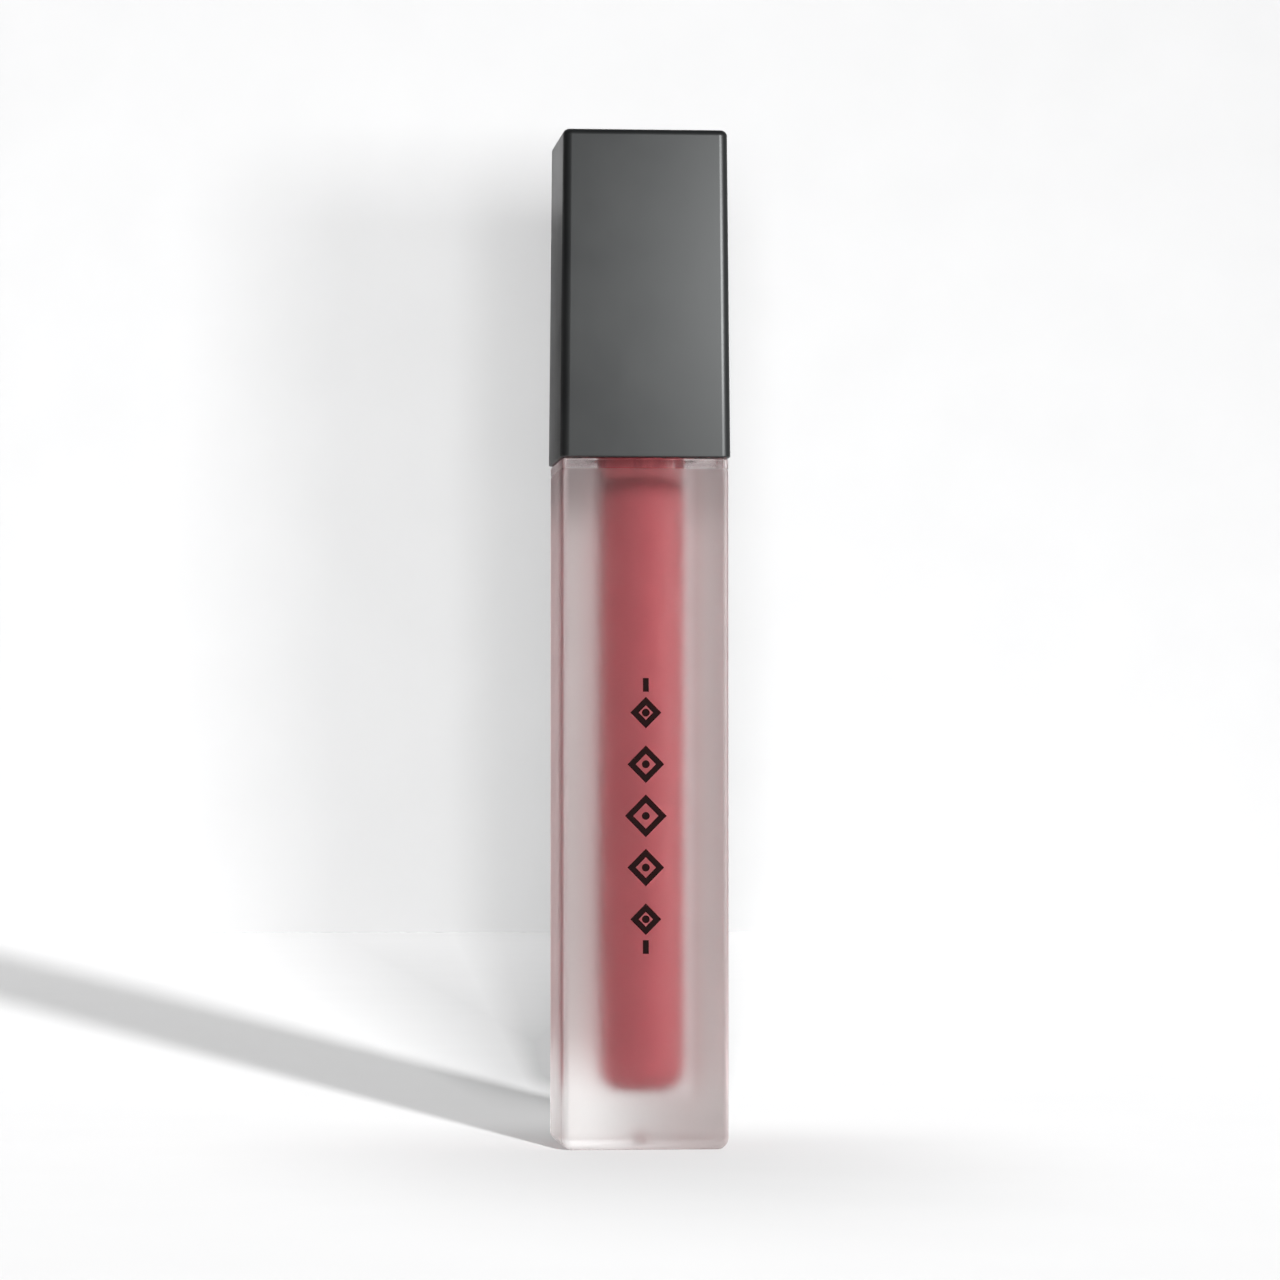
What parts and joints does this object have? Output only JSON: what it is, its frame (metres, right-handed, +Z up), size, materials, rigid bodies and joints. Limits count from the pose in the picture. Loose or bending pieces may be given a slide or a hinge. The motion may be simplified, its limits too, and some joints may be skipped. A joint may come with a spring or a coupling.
{
  "type": "lipstick case",
  "caption": "Square frosted liquid-lipstick tube holding a round column of pink liquid, closed by a tall black screw cap that carries an applicator wand.",
  "frame": {"origin": "centre of the base, on the plane that the tube stands on", "axes": "+Z up along the tube and its thread, the printed front face looks along -Y, +X to the viewer's right"},
  "size_m": [0.0176, 0.0176, 0.105],
  "materials": {
    "frosted_bottle": "satin",
    "pink_liquid": "gloss",
    "black_cap": "satin",
    "black_liner": "satin",
    "white_seal": "matte",
    "natural_wiper": "satin",
    "black_stem": "gloss",
    "white_tip": "matte",
    "stained_flock": "matte"
  },
  "bodies": {
    "bottle": {"bottle": "frosted_bottle", "lipstick_liquid": "pink_liquid", "wiper": "natural_wiper"},
    "seal": {"seal_ring": "white_seal"},
    "cap": {"outer_cap": "black_cap", "inner_cap": "black_liner", "stem": "black_stem", "applicator_core": "white_tip", "flocking": "stained_flock"}
  },
  "joints": [
    {"name": "cap_lift", "type": "slide", "parent": "bottle", "child": "seal", "axis": [0, 0, 1], "range_m": [0, 0.09]},
    {"name": "cap_turn", "type": "hinge", "parent": "seal", "child": "cap", "pos_m": [0, 0, 0.0711], "axis": [0, 0, 1], "range_deg": [0, 540]}
  ]
}
